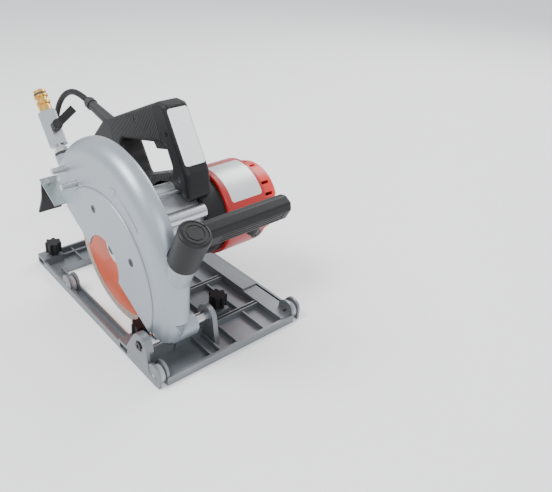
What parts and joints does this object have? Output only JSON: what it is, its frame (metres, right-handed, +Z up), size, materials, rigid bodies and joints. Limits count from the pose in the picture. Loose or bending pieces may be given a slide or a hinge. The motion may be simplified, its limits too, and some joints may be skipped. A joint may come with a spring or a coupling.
{
  "type": "track plunge saw",
  "caption": "Wet-cutting hand-held plunge saw with a diamond disc in a swinging guard, D handle, side grip, water valve and a ribbed cast base on rollers.",
  "frame": {"origin": "centre of the sole's outline, on its underside", "axes": "+X forward towards the plunge pivot, +Y towards the motor, +Z up"},
  "size_m": [0.5001, 0.2408, 0.242],
  "materials": {
    "cast_base": "bead-blasted casting",
    "cast_silver": "silver-grey satin paint",
    "gear_alu": "machined casting",
    "steel": "turned",
    "steel_dark": "blackened",
    "sheet_steel": "zinc-plated sheet",
    "nickel": "nickel-plated",
    "brass": "turned",
    "bronze": "sintered",
    "carbon": "pressed carbon",
    "laminate": "stacked sheet",
    "red_housing": "moulded",
    "red_cap": "moulded",
    "black_plastic": "moulded",
    "grip_plastic": "fine texture",
    "roller_white": "turned nylon",
    "rubber": "moulded",
    "disc_orange": "lacquered",
    "diamond": "sintered segments"
  },
  "bodies": {
    "base": {"base_plate": "cast_base", "pivot_shaft": "steel", "shaft_screws": "steel_dark", "roller_pins": "steel", "cord": "rubber", "cord_coil": "rubber", "plug": "black_plastic"},
    "head": {"head_casting": "cast_silver", "blade_cover": "cast_silver", "cover_screws": "steel_dark", "deflector_plate": "sheet_steel", "deflector_screw": "steel", "guard_posts": "steel", "spray_flap": "rubber", "pivot_bushes": "bronze", "lift_spring": "steel", "front_handle": "black_plastic", "gear_case": "gear_alu", "case_screws": "steel_dark", "bearing_plate": "black_plastic", "motor_housing": "red_housing", "end_cap": "red_cap", "end_cap_screws": "steel_dark", "stator": "laminate", "brush_holders": "bronze", "brushes": "carbon", "brush_caps": "black_plastic", "armature_bearings": "steel", "spindle_bearings": "steel", "handle_left": "grip_plastic", "handle_right": "grip_plastic", "handle_screws": "steel_dark", "switch_module": "black_plastic", "cord_sleeve": "rubber", "valve_fitting": "steel", "fitting_seal": "rubber", "valve_body": "nickel", "hose_nipple": "brass", "nipple_seal": "rubber"},
    "spindle_set": {"disc_core": "disc_orange", "disc_rim": "diamond", "inner_flange": "steel", "outer_flange": "steel", "disc_bolt": "steel_dark", "spindle": "steel", "driven_gear": "steel"},
    "rotor_set": {"armature_shaft": "steel", "armature_core": "laminate", "commutator": "bronze", "fan": "grip_plastic"},
    "trigger_set": {"trigger": "black_plastic"},
    "valve_set": {"valve_ball": "steel", "valve_lever": "black_plastic"},
    "knob_rear_left_set": {"knob_rear_left": "black_plastic"},
    "knob_front_left_set": {"knob_front_left": "black_plastic"},
    "knob_right_set": {"knob_right": "black_plastic"},
    "roller_rear_left_set": {"roller_rear_left": "roller_white"},
    "roller_front_left_set": {"roller_front_left": "roller_white"},
    "roller_front_right_set": {"roller_front_right": "roller_white"},
    "roller_rear_right_set": {"roller_rear_right": "roller_white"}
  },
  "joints": [
    {"name": "plunge", "type": "hinge", "parent": "base", "child": "head", "pos_m": [0.1085, -0.048, 0.032], "axis": [0, -1, 0], "range_deg": [0, 25], "stiffness_Nm_per_rad": 7, "springref_deg": -63.03, "deforming": ["cord", "spray_flap", "lift_spring"]},
    {"name": "blade_spin", "type": "hinge", "parent": "head", "child": "spindle_set", "pos_m": [0.01809, -0.04, 0.09272], "axis": [0, 1, 0], "continuous": true},
    {"name": "rotor_spin", "type": "hinge", "parent": "head", "child": "rotor_set", "pos_m": [0.03816, 0.04, 0.11417], "axis": [0, 1, 0], "continuous": true},
    {"name": "trigger_pull", "type": "hinge", "parent": "head", "child": "trigger_set", "pos_m": [0.01707, 0.0055, 0.2072], "axis": [0, 1, 0], "range_deg": [0, 9], "stiffness_Nm_per_rad": 0.6, "springref_deg": -8.59},
    {"name": "valve_turn", "type": "hinge", "parent": "head", "child": "valve_set", "pos_m": [-0.11207, -0.0715, 0.18897], "axis": [0.7826, 0, 0.6225], "range_deg": [-27, 63]},
    {"name": "knob_rear_left_turn", "type": "hinge", "parent": "base", "child": "knob_rear_left_set", "pos_m": [-0.132, -0.0795, 0.016], "axis": [0, 0, 1], "range_deg": [0, 360]},
    {"name": "knob_front_left_turn", "type": "hinge", "parent": "base", "child": "knob_front_left_set", "pos_m": [0.077, -0.076, 0.016], "axis": [0, 0, 1], "range_deg": [0, 360]},
    {"name": "knob_right_turn", "type": "hinge", "parent": "base", "child": "knob_right_set", "pos_m": [0.084, 0.024, 0.016], "axis": [0, 0, 1], "range_deg": [0, 360]},
    {"name": "roller_rear_left_spin", "type": "hinge", "parent": "base", "child": "roller_rear_left_set", "pos_m": [-0.058, -0.0915, 0.0098], "axis": [0, 1, 0], "continuous": true},
    {"name": "roller_front_left_spin", "type": "hinge", "parent": "base", "child": "roller_front_left_set", "pos_m": [0.1325, -0.0915, 0.0098], "axis": [0, 1, 0], "continuous": true},
    {"name": "roller_front_right_spin", "type": "hinge", "parent": "base", "child": "roller_front_right_set", "pos_m": [0.1325, 0.0915, 0.0098], "axis": [0, 1, 0], "continuous": true},
    {"name": "roller_rear_right_spin", "type": "hinge", "parent": "base", "child": "roller_rear_right_set", "pos_m": [-0.118, 0.0915, 0.0098], "axis": [0, 1, 0], "continuous": true}
  ],
  "couplings": [
    {"joint": "rotor_spin", "follows": "blade_spin", "ratio": -3.7}
  ]
}
